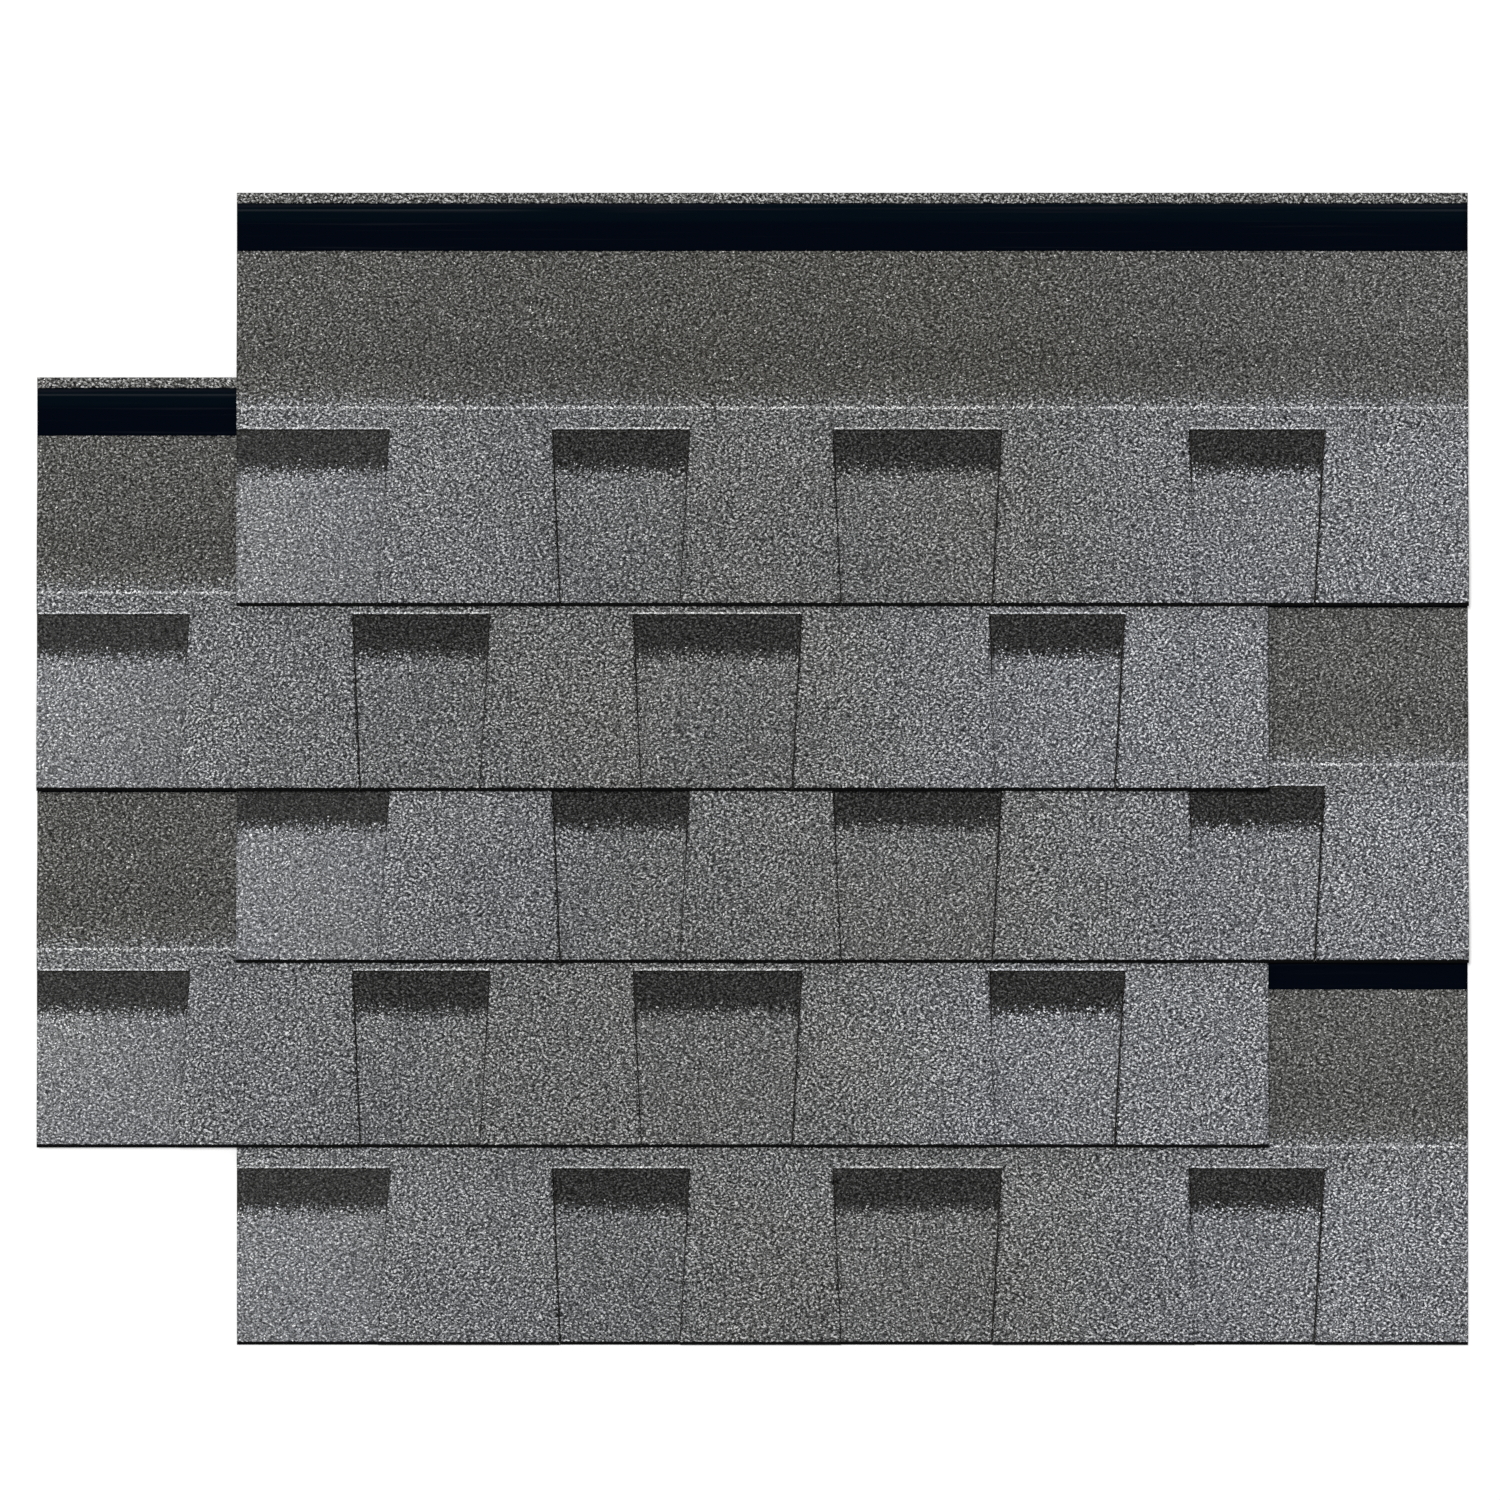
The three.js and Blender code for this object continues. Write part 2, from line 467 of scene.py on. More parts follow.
granuleFinish = {
    "lip": 2.8 * mm,  # bare black asphalt along the butt edge, partly the cut edge and partly painted shadow
    "lipFray": 0.5 * mm,
    "roughness": (0, 1, 0.72, 0.98),
    "bumpHeight": 0.25 * mm,
}


def startGranules(name):
    # What both granuled faces start from. The height is that of the middle of a place's chip.
    tree, shader = newMaterial(name, 0.04)
    along, up = placeOnShingle(tree)
    grain = useGroup(tree, "granules")
    height = calc("ADD", up, grain["Slip"])
    slow = useGroup(tree, "slowChange", {"Along": along})
    return tree, shader, along, up, grain, height, slow


def bandMask(grain, height, low, high, fray):
    # A setting for it has the band's start and end up the slope, and how far its edges fray
    return useGroup(height.id_data, "granuleBand", {
        "Height": height, "Scatter": grain["Scatter"], "Low": low, "High": high, "Fray": fray,
    })["Mask"]


# Bare asphalt along the butt edge, widened as painted shadow
def lipAndShadowMask(grain, up):
    look = granuleFinish
    return calc("LESS_THAN", scaled(minus(grain["Scatter"], 0.5), look["lipFray"], up), look["lip"])


def finishGranules(tree, shader, grain, shade, tone, contrast, warmth, bare):
    # The granule colour, with bare asphalt where its mask is 1
    look = granuleFinish
    stone = useGroup(tree, "granuleColour", {
        "Shade": shade, "Tint": grain["Tint"], "Gap": grain["Gap"], "Tone": tone, "Warmth": warmth,
        "Contrast": contrast,
    })["Colour"]
    asphalt = useGroup(tree, "asphalt")
    dull = ramp(grain["Tint"], *look["roughness"])
    shown, roughness = mixColour(bare, stone, asphalt["Colour"]), mixValue(bare, dull, asphalt["Roughness"])
    relief = mixValue(bare, grain["Relief"], asphalt["Relief"])
    finishSurface(shader, shown, roughness, relief, look["bumpHeight"])


tabFinish = {
    "contrast": (0.2, 0.32, 0.95, 1.025),
    "rightContrast": (0.75, 0.9, 1, 0.95),
    "headlapContrast": 0.84,
    "middleTone": 0.94,  # what the slow change of tone swings about
    "tabShade": (0, 143.7 * mm, 0.955, 1.01),  # from the butt edge to the heads of the cut-outs
    "aboveHeads": (125 * mm, 150 * mm),
    "aboveShade": 0.945,
    "aboveChange": 0.65,  # share of the slow change that is left there
    "headlap": (167.5 * mm, 1, 18 * mm),
    "headlapTone": 0.53,
    "headlapRight": (0.78, 0.95, 1.04, 1.17),
    "headlapChange": 0.4,
    "headlapWarmth": 0.84,
    "headlapStain": 0.6,
    "duskMiddle": 203 * mm,  # a darker stretch low on the headlap
    "dusk": (4 * mm, 26 * mm, 0.88, 1),
    "nailLine": (160.2 * mm, 162 * mm, 1.2 * mm),
    "nailLineGaps": 0.2,  # share of missing chips
    "nailLineTone": 1.53,
    "headLineTone": 1.6,  # painted highlight: lighter chips along the heads of the cut-outs
    "lineShade": 0.4,  # least shade of a chip in either line
    "lineContrast": 1.12,
    "strip": (327 * mm, 1, 0.5 * mm),  # above the release tape
    "stripTone": 0.855,
    "stripContrast": 1.22,
    "stripWarmth": 0.62,
    "middleWarmth": 0.4,
    "wornAndShaded": (-0.6, 0.4),  # dark cut sides, partly painted shade: how much chance counts, and where it shows
}


def makeTabGranules():
    look = tabFinish
    tree, shader, along, up, grain, height, slow = startGranules("tabGranules")
    headlap = bandMask(grain, height, *look["headlap"])
    strip = bandMask(grain, height, *look["strip"])
    nailLine = bandMask(grain, height, *look["nailLine"])
    nailLine = product(nailLine, isAbove(grain["Tint"], look["nailLineGaps"]))
    # Painted highlight along the heads of the cut-outs
    headLine = isAbove(readAttribute(tree, "headLine"), 0.4)
    inLine = calc("MAXIMUM", nailLine, headLine)
    tapeBand = isAbove(readAttribute(tree, "tapeBand"), 0.5)

    least = look["lineShade"]
    shade = mixValue(inLine, grain["Shade"], scaled(grain["Shade"], 1 - least, least))
    contrast = overlay(
        product(ramp(along, *look["contrast"]), ramp(along, *look["rightContrast"])),
        (headlap, look["headlapContrast"]), (inLine, look["lineContrast"]), (strip, look["stripContrast"]),
    )

    change = ramp(up, *look["aboveHeads"], 1, look["aboveChange"])
    fromMiddle = minus(slow["Tone"], look["middleTone"])
    tone = product(scaled(fromMiddle, change, look["middleTone"]), ramp(up, *look["tabShade"]))
    tone = product(tone, ramp(up, *look["aboveHeads"], 1, look["aboveShade"]))
    faint = scaled(fromMiddle, look["headlapChange"], ramp(along, *look["headlapRight"]))
    dusk = ramp(distance(up, look["duskMiddle"]), *look["dusk"])
    tone = overlay(
        tone, (headlap, product(faint, dusk, look["headlapTone"])), (strip, look["stripTone"]),
        (nailLine, look["nailLineTone"]), (headLine, look["headLineTone"]),
    )

    stain = minus(slow["Warmth"], look["middleWarmth"])
    warmth = overlay(
        scaled(stain, change, look["middleWarmth"]),
        (headlap, scaled(stain, look["headlapStain"], look["headlapWarmth"])), (strip, look["stripWarmth"]),
    )
    # Bare asphalt and painted shade along the cut edges
    scatter, darkFrom = look["wornAndShaded"]
    wornAndShaded = scaled(grain["Scatter"], scatter, readAttribute(tree, "bareEdge"))
    bare = calc("MAXIMUM", lipAndShadowMask(grain, up), isAbove(wornAndShaded, darkFrom))
    bare = calc("MAXIMUM", bare, tapeBand)
    finishGranules(tree, shader, grain, shade, tone, contrast, warmth, bare)


backingFinish = {
    "contrast": (0.12, 0.26, 0.69, 0.915),
    "shade": (0, 103 * mm, 0.94, 0.985),
    "leftShade": (0.05, 0.2, 1.08, 1),
    "shadow": (108.8 * mm, 1, 17 * mm),  # printed under the heads of the cut-outs
    "shadowTone": (0.1, 0.28, 0.27, 0.195),
    "shadowContrast": 0.93,  # share of the contrast left in it
    "shadowWarmth": 0.58,
    "fadeTone": (4 * mm, 12 * mm, 1.16, 1),  # light chips where it fades out
}


def makeBackingGranules():
    look = backingFinish
    tree, shader, along, up, grain, height, slow = startGranules("backingGranules")
    fade = ramp(distance(height, look["shadow"][0]), *look["fadeTone"])
    tone = product(ramp(up, *look["shade"]), slow["Tone"], ramp(along, *look["leftShade"]), fade)
    shadow = bandMask(grain, height, *look["shadow"])
    tone = mixValue(shadow, tone, ramp(along, *look["shadowTone"]))
    contrast = ramp(along, *look["contrast"])
    contrast = mixValue(shadow, contrast, product(contrast, look["shadowContrast"]))
    warmth = mixValue(shadow, slow["Warmth"], look["shadowWarmth"])
    finishGranules(tree, shader, grain, grain["Shade"], tone, contrast, warmth, lipAndShadowMask(grain, up))


edgeFinish = {
    "lumps": 0.9 * mm,  # size of the chips and of the lumps of asphalt
    "chips": 0.84,  # broken chips show above this level
    "chipTone": 0.7,
    "chipFray": 0.3,
    "matLevel": 0.42,
    "matWidth": 0.11,
    "matColour": (0.11, 0.105, 0.095, 1),
    "sand": 0.1,  # and the sand of the underside below this one
    "sandColour": (0.1, 0.096, 0.088, 1),
    "bumpHeight": 0.3 * mm,
}


def makeCutEdge():
    # The cut edges: broken chips, asphalt, the frayed glass mat and the sand of the underside
    look = edgeFinish
    tree, shader = newMaterial("cutEdge", 0)
    level = readAttribute(tree, "edgeLevel")
    grain, asphalt = [useGroup(tree, name, {"Size": look["lumps"]}) for name in ("granules", "asphalt")]
    frayed = scaled(minus(grain["Scatter"], 0.5), look["chipFray"], level)
    stone = useGroup(tree, "granuleColour", {
        "Shade": grain["Shade"], "Tint": grain["Tint"], "Tone": look["chipTone"],
    })["Colour"]
    width = product(grain["Tint"], look["matWidth"])
    inMat = calc("LESS_THAN", distance(level, look["matLevel"]), width)
    shown = mixColour(isAbove(frayed, look["chips"]), asphalt["Colour"], stone)
    shown = mixColour(inMat, shown, look["matColour"])
    shown = mixColour(calc("LESS_THAN", frayed, look["sand"]), shown, look["sandColour"])
    relief = calc("ADD", asphalt["Relief"], product(grain["Relief"], 0.5))
    finishSurface(shader, shown, asphalt["Roughness"], relief, look["bumpHeight"])


backFinish = {
    "sandSize": 0.5 * mm,
    "sandShades": (0.2, 1),
    "sandColours": ((0.02, 0.02, 0.019, 1), (0.2, 0.195, 0.18, 1)),
    "baldSize": 4 * mm,  # of the patches with little sand
    "bald": (0.45, 0.7),
    "baldest": 0.8,
    "roughness": (0, 1, 0.7, 0.95),
    "bumpHeight": 0.12 * mm,
}


def makeSandedBack():
    # Fine mineral powder pressed into the asphalt of the underside
    look = backFinish
    tree, shader = newMaterial("sandedBack", 0.2)
    grain = useGroup(tree, "granules", {"Size": look["sandSize"]})
    asphalt = useGroup(tree, "asphalt", {"Size": look["baldSize"]})
    sand = mixColour(ramp(grain["Shade"], *look["sandShades"]), *look["sandColours"])
    bald = product(ramp(asphalt["Relief"], *look["bald"]), look["baldest"])
    shown = mixColour(bald, sand, asphalt["Colour"])
    roughness = ramp(grain["Shade"], *look["roughness"])
    finishSurface(shader, shown, roughness, grain["Relief"], look["bumpHeight"])


filmFinish = {
    "colours": ((0.0009, 0.0025, 0.0059, 1), (0.0012, 0.0041, 0.0075, 1)),
    "tight": (310 * mm, 316 * mm),  # the second colour from here up, where it was pulled tight
    "streakScale": (5, 420, 1),
    "streakColour": (0.0062, 0.0078, 0.0125, 1),
    "streaks": (317 * mm, 326 * mm, 0.6, 0.36),  # least streakiness that shows, up the slope
    "streakContrast": 5,
    "foldLine": 321.8 * mm,  # a light fold that shows near both ends
    "foldWidth": (0.3 * mm, 1.2 * mm, 1, 0),
    "foldFades": (190 * mm, 270 * mm, 1, 0),
    "foldReturns": (850 * mm, 990 * mm),
    "foldColour": (0.0125, 0.017, 0.022, 1),
    "roughness": (0.2, 0.8, 0.22, 0.45),
    "gloss": (0.35, 0.65, 0.55, 0.275),
    "glossFacing": 0.35,
    "glossPower": 2.5,
    "glossRoughness": 0.16,
    "bumpHeight": 0.05 * mm,
}


def makeReleaseFilm():
    look = filmFinish
    tree, shader = newMaterial("releaseFilm", 0)
    along, up = placeOnShingle(tree)
    place = addNode(tree, "TexCoord").outputs["Object"]
    streaks = noise(vectorCalc("MULTIPLY", place, look["streakScale"]), 1, 4)["Fac"]
    least = ramp(up, *look["streaks"])
    light = calc("SUBTRACT", streaks, least, clamp=True)
    light = calc("MULTIPLY", light, look["streakContrast"], clamp=True)
    film = mixColour(ramp(up, *look["tight"]), *look["colours"])
    film = mixColour(light, film, look["streakColour"])
    nearFold = ramp(distance(up, look["foldLine"]), *look["foldWidth"])
    fades, returns = [ramp(along, *look[name]) for name in ("foldFades", "foldReturns")]
    fold = product(nearFold, calc("ADD", fades, returns))
    film = mixColour(fold, film, look["foldColour"])
    finishSurface(shader, film, ramp(streaks, *look["roughness"]), streaks, look["bumpHeight"])
    facing = addNode(tree, "LayerWeight", {"Blend": look["glossFacing"]}).outputs["Facing"]
    gloss = product(calc("POWER", facing, look["glossPower"]), ramp(streaks, *look["gloss"]))
    feed(shader, {"Coat Weight": gloss, "Coat Roughness": look["glossRoughness"]})


sealantFinish = {"lumps": 3 * mm, "roughness": (0.35, 0.7, 0.18, 0.6), "bumpHeight": 0.4 * mm}


def makeSealant():
    # Sticky asphalt, smooth and a little glossy, with dust on its high places
    look = sealantFinish
    tree, shader = newMaterial("sealant", 0.5)
    asphalt = useGroup(tree, "asphalt", {"Size": look["lumps"]})
    roughness = ramp(asphalt["Relief"], *look["roughness"])
    finishSurface(shader, asphalt["Colour"], roughness, asphalt["Relief"], look["bumpHeight"])


makeTabGranules()
makeBackingGranules()
makeCutEdge()
makeSandedBack()
makeReleaseFilm()
makeSealant()
print("materials ready")


# Meshes

touch = 0.1 * mm  # places closer than this are on the same line
rays = {"inset": 0.7 * mm, "spacing": 2 * mm}
upperKind, wallKind, underKind, chipKind = range(4)


def readUnderside(node):
    # A node's underside up the slope, read just inside its right end by rays from below
    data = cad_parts[node].data
    tree = BVHTree.FromPolygons([v.co for v in data.vertices], [p.vertices for p in data.polygons])
    low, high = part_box(node)
    places = np.arange(low.y + touch, high.y, rays["spacing"])
    starts = [Vector((high.x - rays["inset"], y, -1)) for y in places]
    return places - low.y, np.array([tree.ray_cast(start, Vector((0, 0, 1)))[0].z for start in starts])


def evenSteps(low, high, step):
    return np.linspace(low, high, max(2, round((high - low) / step) + 1))


def makeGrid(columns, rows):
    return np.stack(np.meshgrid(columns, rows), axis=-1)


def joinPatches(patches):
    # Numbers several grids of places together, so that they share their common points
    flat = join([patch.reshape(-1, 2) for patch in patches])
    keys = np.round(flat * 1e6).astype(int)
    _, first, pointOf = np.unique(keys, axis=0, return_index=True, return_inverse=True)
    ends = np.cumsum([patch.size // 2 for patch in patches])
    parts = np.split(pointOf.ravel(), ends[:-1])
    return flat[first], [part.reshape(patch.shape[:2]) for part, patch in zip(parts, patches)]


def gridFaces(grids):
    corners = [(grid[:-1, :-1], grid[:-1, 1:], grid[1:, 1:], grid[1:, :-1]) for grid in grids]
    return join([np.stack(four, axis=-1).reshape(-1, 4) for four in corners])


def findRim(faces):
    # The directed edges that only one face uses
    edges = join([faces[:, (corner, (corner + 1) % 4)] for corner in range(4)])
    count = faces.max() + 1
    return edges[~np.isin(edges @ (count, 1), edges @ (1, count))]


def findInner(places, grids):
    inner = np.ones(len(places), bool)
    inner[findRim(gridFaces(grids))] = False
    return inner


def outwardAt(places, rim):
    # The way out of the slab at each of its rim's points
    step = places[rim[:, 1]] - places[rim[:, 0]]
    step /= np.linalg.norm(step, axis=1, keepdims=True)
    out = np.zeros_like(places)
    for end in (0, 1):
        np.add.at(out, rim[:, end], np.stack([step[:, 1], -step[:, 0]], axis=1))
    length = np.linalg.norm(out, axis=1, keepdims=True)
    return out / np.maximum(length, 1e-9)


wallLevels = (0.7, 0.42, 0)  # the foot of the chips, the mat and the underside
cutWall = {
    "uneven": (0.88, 1),
    "highest": 0.9,  # share of the upper face's level
    "flareUneven": (0.75, 1.1),
}


def closeSlab(form, places, grids, topAt, underAt, flares=0):
    # A slab with the fine upper face, three rows of wall round it and a plain underside. The
    # foot of a wall stands out by its flare.
    faces = gridFaces(grids)
    count = len(places)
    rim = findRim(faces)
    rimPoints = np.unique(rim)
    around = len(rimPoints)
    place = np.full(count, -1)
    place[rimPoints] = np.arange(around)
    out = outwardAt(places, rim)[rimPoints]
    flare = np.broadcast_to(flares, count)[rimPoints]
    topLevel = (topAt - underAt)[rimPoints] / form["thickness"]
    points = [np.column_stack([places, topAt])]
    levels = [np.ones(count)]
    levels[0][rimPoints] = topLevel
    for wallLevel in wallLevels:
        level = wallLevel * chance(*cutWall["uneven"], around)
        level = np.minimum(level, cutWall["highest"] * topLevel)
        stand = flare * (1 - level) * chance(*cutWall["flareUneven"], around)
        stand -= chance(0, form["wallWaver"], around) * (flare == 0)
        height = underAt[rimPoints] + level * form["thickness"]
        points.append(np.column_stack([places[rimPoints] + out * stand[:, None], height]))
        levels.append(level)

    def ringPoint(ring, at):
        return at if ring == 0 else count + (ring - 1) * around + place[at]

    walls = []
    near, far = rim.T
    for ring in range(len(wallLevels)):
        upper, lower = [[ringPoint(at, far), ringPoint(at, near)] for at in (ring, ring + 1)]
        walls.append(np.stack(upper + lower[::-1], axis=1))
    floors = []
    for grid in grids:
        for row in range(len(grid) - 1):
            near, far = [[ringPoint(len(wallLevels), at) for at in grid[line] if place[at] >= 0]
                         for line in (row, row + 1)]
            floors.append([int(at) for at in far + near[::-1]])
    return {
        "points": join(points),
        "faces": faces.tolist() + join(walls).tolist() + floors,
        "kinds": [upperKind] * len(faces) + [wallKind] * (len(wallLevels) * len(rim))
                 + [underKind] * len(floors),
        "levels": join(levels),
        "wallLength": len(rim),
    }


standingChip = {
    "reach": 0.62 * mm,  # from its middle to its corners
    "sizes": (0.75, 1.25),  # from chip to chip
    "corners": (0.8, 1.15),  # and from corner to corner
    "skew": 0.4,  # how far a corner turns from its place
    "ridge": 0.5,  # share of the reach where the ends of its ridge lie
    "ridges": (0.6, 1.1),
    "drop": (0.01 * mm, 0.25 * mm),  # of those ends
    "depth": 0.6 * mm,
    "shades": (0.01, 1),
    "cell": 2.6 * mm,  # what its cell on the map spans
}


def addChips(slab, centres, tops):
    # Chips that stand proud: a three-cornered foot under a slanting ridge
    form = standingChip
    count = len(centres)
    turn = chance(0, math.tau, (count, 1))
    angles = turn + np.array([0, 1 / 3, 2 / 3]) * math.tau
    angles += chance(-form["skew"], form["skew"], (count, 3))
    reach = chance(*form["sizes"], (count, 1)) * chance(*form["corners"], (count, 3)) * form["reach"]
    depth = np.full((count, 3), -form["depth"])
    foot = np.stack([np.cos(angles) * reach, np.sin(angles) * reach, depth], -1)
    ends = turn + np.array([1 / 6, 2 / 3]) * math.tau
    span = form["reach"] * form["ridge"] * chance(*form["ridges"], (count, 2))
    drop = -chance(*form["drop"], (count, 2))
    ridge = np.stack([np.cos(ends) * span, np.sin(ends) * span, drop], -1)
    points = join([foot, ridge], axis=1) + np.column_stack([centres, tops])[:, None, :]
    shape = np.array([(0, 2, 1), (0, 1, 3), (1, 4, 3), (1, 2, 4), (2, 0, 4), (0, 3, 4)])
    start = slab["chipStart"] = len(slab["points"])
    faces = shape + start + 5 * np.arange(count)[:, None, None]
    slab["faces"] += faces.reshape(-1, 3).tolist()
    slab["kinds"] += [chipKind] * len(shape) * count
    slab["shades"] = join([np.zeros(start), np.repeat(chance(*form["shades"], count), 5)])
    slab["points"] = join([slab["points"], points.reshape(-1, 3)])


mapRows = {"upper": (0.32, 1), "chips": (0.19, 0.31), "walls": (0.1, 0.18), "under": (0, 0.09)}
mapMargins = {"faces": 0.01, "under": 0.03, "wallRows": 0.1, "wallSides": 0.15}


def within(margin, share):
    # A share of what the margins leave
    return mapMargins[margin] + (1 - 2 * mapMargins[margin]) * share


def mapCells(count, low, high):
    # The lower left corners and the size of equal cells in a strip across the map
    columns = math.ceil(math.sqrt(count / (high - low)))
    size = np.array([1 / columns, (high - low) / math.ceil(count / columns)])
    order = np.arange(count)
    return np.stack([order % columns, order // columns], axis=1) * size + np.array([0, low]), size


def addMap(data, slab):
    # A map for textures. The upper face lies in two halves, turned and set side by side. Each
    # chip and each length of wall has a cell of its own.
    corners = join(slab["faces"])
    totals = np.array([len(face) for face in slab["faces"]])
    starts = np.cumsum(totals) - totals
    kinds = np.repeat(slab["kinds"], totals)
    flat = slab["points"][:, :2]
    low, high = flat.min(0), flat.max(0)
    place = ((flat - low) / (high - low))[corners]
    half = np.repeat(np.add.reduceat(place[:, 0], starts) / totals > 0.5, totals)

    foot, top = mapRows["upper"]
    across = (half + within("faces", place[:, 1])) / 2
    upward = top - (top - foot) * within("faces", 2 * place[:, 0] - half)
    places = np.stack([across, upward], axis=1)

    foot, top = mapRows["under"]
    upward = foot + (top - foot) * within("under", place[:, 1])
    isUnder = kinds == underKind
    places[isUnder] = np.stack([within("faces", place[:, 0]), upward], axis=1)[isUnder]

    cells, size = mapCells(slab["wallLength"], *mapRows["walls"])
    ring, edge = np.divmod(np.arange(len(wallLevels) * slab["wallLength"]), slab["wallLength"])
    rows = within("wallRows", 1 - (ring[:, None] + np.array([0, 0, 1, 1])) / len(wallLevels))
    columns = np.broadcast_to(within("wallSides", np.array([1, 0, 0, 1])), rows.shape)
    inCell = np.stack([columns, rows], axis=-1) * size
    places[kinds == wallKind] = (cells[edge][:, None] + inCell).reshape(-1, 2)

    if "chipStart" in slab:
        middles = flat[slab["chipStart"]:].reshape(-1, 5, 2).mean(axis=1)
        cells, size = mapCells(len(middles), *mapRows["chips"])
        onChips = corners[kinds == chipKind]
        chip = (onChips - slab["chipStart"]) // 5
        fromMiddle = (flat[onChips] - middles[chip]) / standingChip["cell"]
        inCell = 0.5 + np.clip(fromMiddle, -0.4, 0.4)
        places[kinds == chipKind] = cells[chip] + inCell * size
    data.uv_layers.new(name="OFBake").uv.foreach_set("vector", places.ravel())


def placePiece(node, name, data, corner):
    piece = addObject(name, data, (corner.x, corner.y, 0))
    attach(piece, "root")
    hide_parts(node)
    return piece


def makePiece(node, name, slab, corner, slot, *finishNames, **attributes):
    data = bpy.data.meshes.new(name)
    data.from_pydata(slab["points"].tolist(), [], slab["faces"])
    for finish in finishNames:
        data.materials.append(finishes[finish])
    kinds = np.array(slab["kinds"])
    data.polygons.foreach_set("material_index", kinds % chipKind)
    data.polygons.foreach_set("use_smooth", kinds == upperKind)
    data.update()
    attributes |= {"edgeLevel": slab["levels"], "chipShade": slab.get("shades", [])}
    for title, values in attributes.items():
        padded = np.zeros(len(data.vertices), np.float32)
        padded[:len(values)] = values
        data.attributes.new(title, "FLOAT", "POINT").data.foreach_set("value", padded)
    addMap(data, slab)
    return placePiece(node, name, data, corner)


sheetStuff = {  # what the tab sheet and the backing strip have in common
    "length": 1000 * mm,
    "thickness": 2.7 * mm,
    "lip": 2.4 * mm,
    "lipDrop": 1 * mm,
    "step": 2.4 * mm,
    "relief": (0.1 * mm, 0.5 * mm),
    "rimRelief": 0.5,  # share of it along the edges
    "wallWaver": 0.35 * mm,
    "chipFree": 4 * mm,  # no chip stands below this
}
tabSheet = sheetStuff | {
    "height": 336 * mm,
    "head": 143.7 * mm,  # height of the cut-outs
    # left and right side of each at its head, and how far each leans in down to the butt edge
    "cutOuts": mm * np.array([
        (0, 124.6, 0, 10.3), (255.9, 368.4, 6.3, 8.3), (483.8, 621.8, 6.7, 7.9), (773, 884, 5.1, 8.3),
    ]),
    "band": (288.3 * mm, 327.5 * mm),  # of the tape, without granules
    "bandDepth": 0.9 * mm,
    "bandStep": 0.4 * mm,  # width of the slope on either side of its floor
    "floorInset": 3 * mm,
    "bandFray": (0.45 * mm, 0.7 * mm),  # of the chips along its foot and its top
    "frayColumn": 0.05 * mm,  # points as close as this move together
    "shake": 0.25,  # share of a step by which its points are shaken
    # asphalt drawn down by the knife and painted shade: at the cut-out heads, and low and high on each side
    "headFlare": 1.15 * mm,
    "sideFlares": mm * np.array([
        (0.5, 0.95), (1.45, 1.5), (0.95, 1.45), (1, 1.55), (1.6, 1.85), (0.2, 1.9), (1.75, 1.95),
    ]),
    "edgeBareAndShade": 0.45,  # how dark the cut edges are: bare asphalt, partly painted shade
    "flareBareAndShade": (1.4 * mm, 0.8),  # flare that would make the edge all dark, and the darkest share
    "headBareAndShade": 0.5,
    "chipLines": (1.7 * mm, 0.35 * mm),  # spacing and scatter of the chips along the edges
    "chipInset": 1.25 * mm,  # from the ends and the headlap edge
    "sideInset": 0.35 * mm,  # from the sides of the cut-outs
    "headInset": 0.7 * mm,
    "bandInsets": (-0.2 * mm, 1.2 * mm),
    "looseChips": 3600,
}


def lowRows():
    # From the butt edge to the heads of the cut-outs, in both sheets
    lip = sheetStuff["lip"]
    rows = evenSteps(lip, tabSheet["head"], sheetStuff["step"])
    return join([np.linspace(0, lip, 4), rows[1:]])


def tabSheetPatches():
    form = tabSheet
    head, length, step = form["head"], form["length"], form["step"]
    foot, top = form["band"]
    bandStep, inset = form["bandStep"], form["floorInset"]
    floor = np.linspace(foot + inset, top - inset, 5)
    highRows = join([
        evenSteps(head, foot, step)[:-1], [foot, foot + bandStep], floor, [top - bandStep, top],
        evenSteps(top, form["height"], step)[1:],
    ])
    low = lowRows()[:, None]
    patches = []
    headColumns = [np.zeros(1)]
    nextCutOuts = np.vstack([form["cutOuts"][1:], (length, length, 0, 0)])
    for (left, right, _, rightLean), (tabRight, _, nextLean, _) in zip(form["cutOuts"], nextCutOuts):
        columns = evenSteps(right, tabRight, step)
        headColumns += [evenSteps(left, right, step)[1:], columns[1:]]
        share = (columns - right) / (tabRight - right)
        across = columns + (1 - low / head) * (share * (nextLean + rightLean) - rightLean)
        patches.append(np.stack([across, np.broadcast_to(low, across.shape)], axis=-1))
    patches.append(makeGrid(join(headColumns), highRows))
    return patches


def cutOutSides():
    # The sides of the cut-outs from the butt edge up, and which way the tab lies from each
    head = tabSheet["head"]
    sides = []
    for left, right, leftLean, rightLean in tabSheet["cutOuts"]:
        if left > 0:
            sides.append(((left + leftLean, 0), (left, head), -1))
        sides.append(((right - rightLean, 0), (right, head), 1))
    return sides


def flareAt(places, onRim):
    # How far the foot of the wall stands out under each point of the rim
    form = tabSheet
    head = form["head"]
    across, up = places.T
    flare = np.zeros(len(places))
    atHead = onRim & (abs(up - head) < touch)
    for left, right, *_ in form["cutOuts"]:
        flare[atHead & (across > max(left, mm) - touch) & (across < right + touch)] = form["headFlare"]
    inHeight = onRim & (up > touch) & (up < head - touch)
    rise = np.clip(up / head * 5 - 3, 0, 1)  # between three and four fifths of the way up
    for (foot, upper, _), (low, high) in zip(cutOutSides(), form["sideFlares"]):
        side = foot[0] + (upper[0] - foot[0]) * up / head
        flare = np.where(inHeight & (abs(across - side) < touch), low + (high - low) * rise, flare)
    return flare


